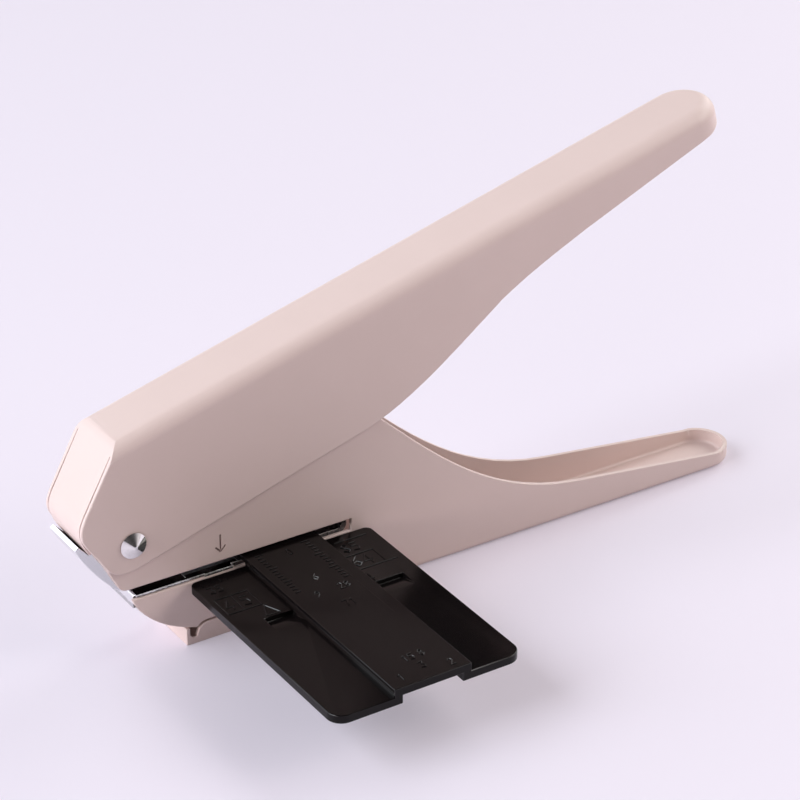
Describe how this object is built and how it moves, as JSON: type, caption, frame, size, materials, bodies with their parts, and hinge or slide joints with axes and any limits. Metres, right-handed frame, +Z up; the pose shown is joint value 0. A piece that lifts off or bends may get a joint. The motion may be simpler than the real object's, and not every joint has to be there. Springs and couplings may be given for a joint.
{
  "type": "disc binding punch",
  "caption": "Hand and desk punch for disc binding: pressed steel lever over a channel base, mushroom punch and die, sliding black guide board.",
  "frame": {"origin": "on the table under the punch axis, in the middle of the width, on the underside of the chip tray", "axes": "+X runs back along the base from the paper mouth to the tail, +Y to the side away from the guide board, +Z up"},
  "size_m": [0.1439, 0.0644, 0.0783],
  "materials": {
    "pink_paint": "fine satin powder coat on pressed steel",
    "chrome": "bright nickel-chrome plating",
    "steel": "ground and oiled steel",
    "nylon": "natural nylon",
    "black_plastic": "moulded plastic with a fine satin grain"
  },
  "bodies": {
    "base": {"base_shell": "pink_paint", "die_frame": "chrome", "die_block": "steel", "punch_bush": "steel", "bush_rivets": "steel", "spring_seat": "steel", "punch_spring": "steel", "pivot_pin": "chrome", "pivot_spacer": "steel", "pivot_washers": "nylon", "tray_pin": "steel", "guide_stop": "steel", "guide_leaf": "steel", "leaf_rivet": "steel"},
    "lever": {"lever_shell": "pink_paint", "press_bracket": "steel", "press_bar": "chrome"},
    "plunger": {"punch": "steel", "punch_cap": "steel", "cap_screw": "chrome"},
    "tray": {"chip_tray": "pink_paint"},
    "board": {"guide_board": "black_plastic"}
  },
  "joints": [
    {"name": "lever_hinge", "type": "hinge", "parent": "base", "child": "lever", "pos_m": [-0.017, 0, 0.0246], "axis": [0, 1, 0], "range_deg": [0, 13.5], "stiffness_Nm_per_rad": 0.8, "springref_deg": -20.05},
    {"name": "punch_slide", "type": "slide", "parent": "base", "child": "plunger", "axis": [0, 0, -1], "range_m": [0, 0.0041], "deforming": ["punch_spring"]},
    {"name": "tray_hinge", "type": "hinge", "parent": "base", "child": "tray", "pos_m": [0.0304, 0, 0.0026], "axis": [0, -1, 0], "range_deg": [0, 60]},
    {"name": "guide_slide", "type": "slide", "parent": "base", "child": "board", "axis": [0, -1, 0], "range_m": [0, 0.007]}
  ],
  "couplings": [
    {"joint": "punch_slide", "follows": "lever_hinge", "m_per_rad": 0.017}
  ]
}
